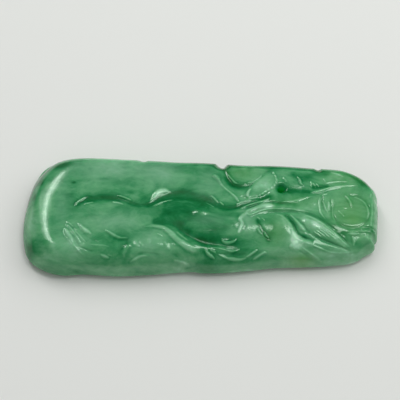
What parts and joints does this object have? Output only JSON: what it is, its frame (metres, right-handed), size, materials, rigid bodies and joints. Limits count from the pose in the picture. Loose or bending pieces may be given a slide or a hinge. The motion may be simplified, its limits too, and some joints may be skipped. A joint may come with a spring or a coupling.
{
  "type": "jade plaque",
  "caption": "Flat-backed carved jade pendant plaque with pods, leaves, vine and a curled scroll in relief, drilled near its narrow end.",
  "frame": {"origin": "middle of the bounding box, on the flat back", "axes": "+X along the length towards the narrow drilled end, +Z out of the carved face"},
  "size_m": [0.0644, 0.0236, 0.0061],
  "materials": {
    "jade": "polished translucent jadeite, mottled pale to emerald green"
  },
  "bodies": {
    "root": {"jade_plaque": "jade"}
  },
  "joints": []
}
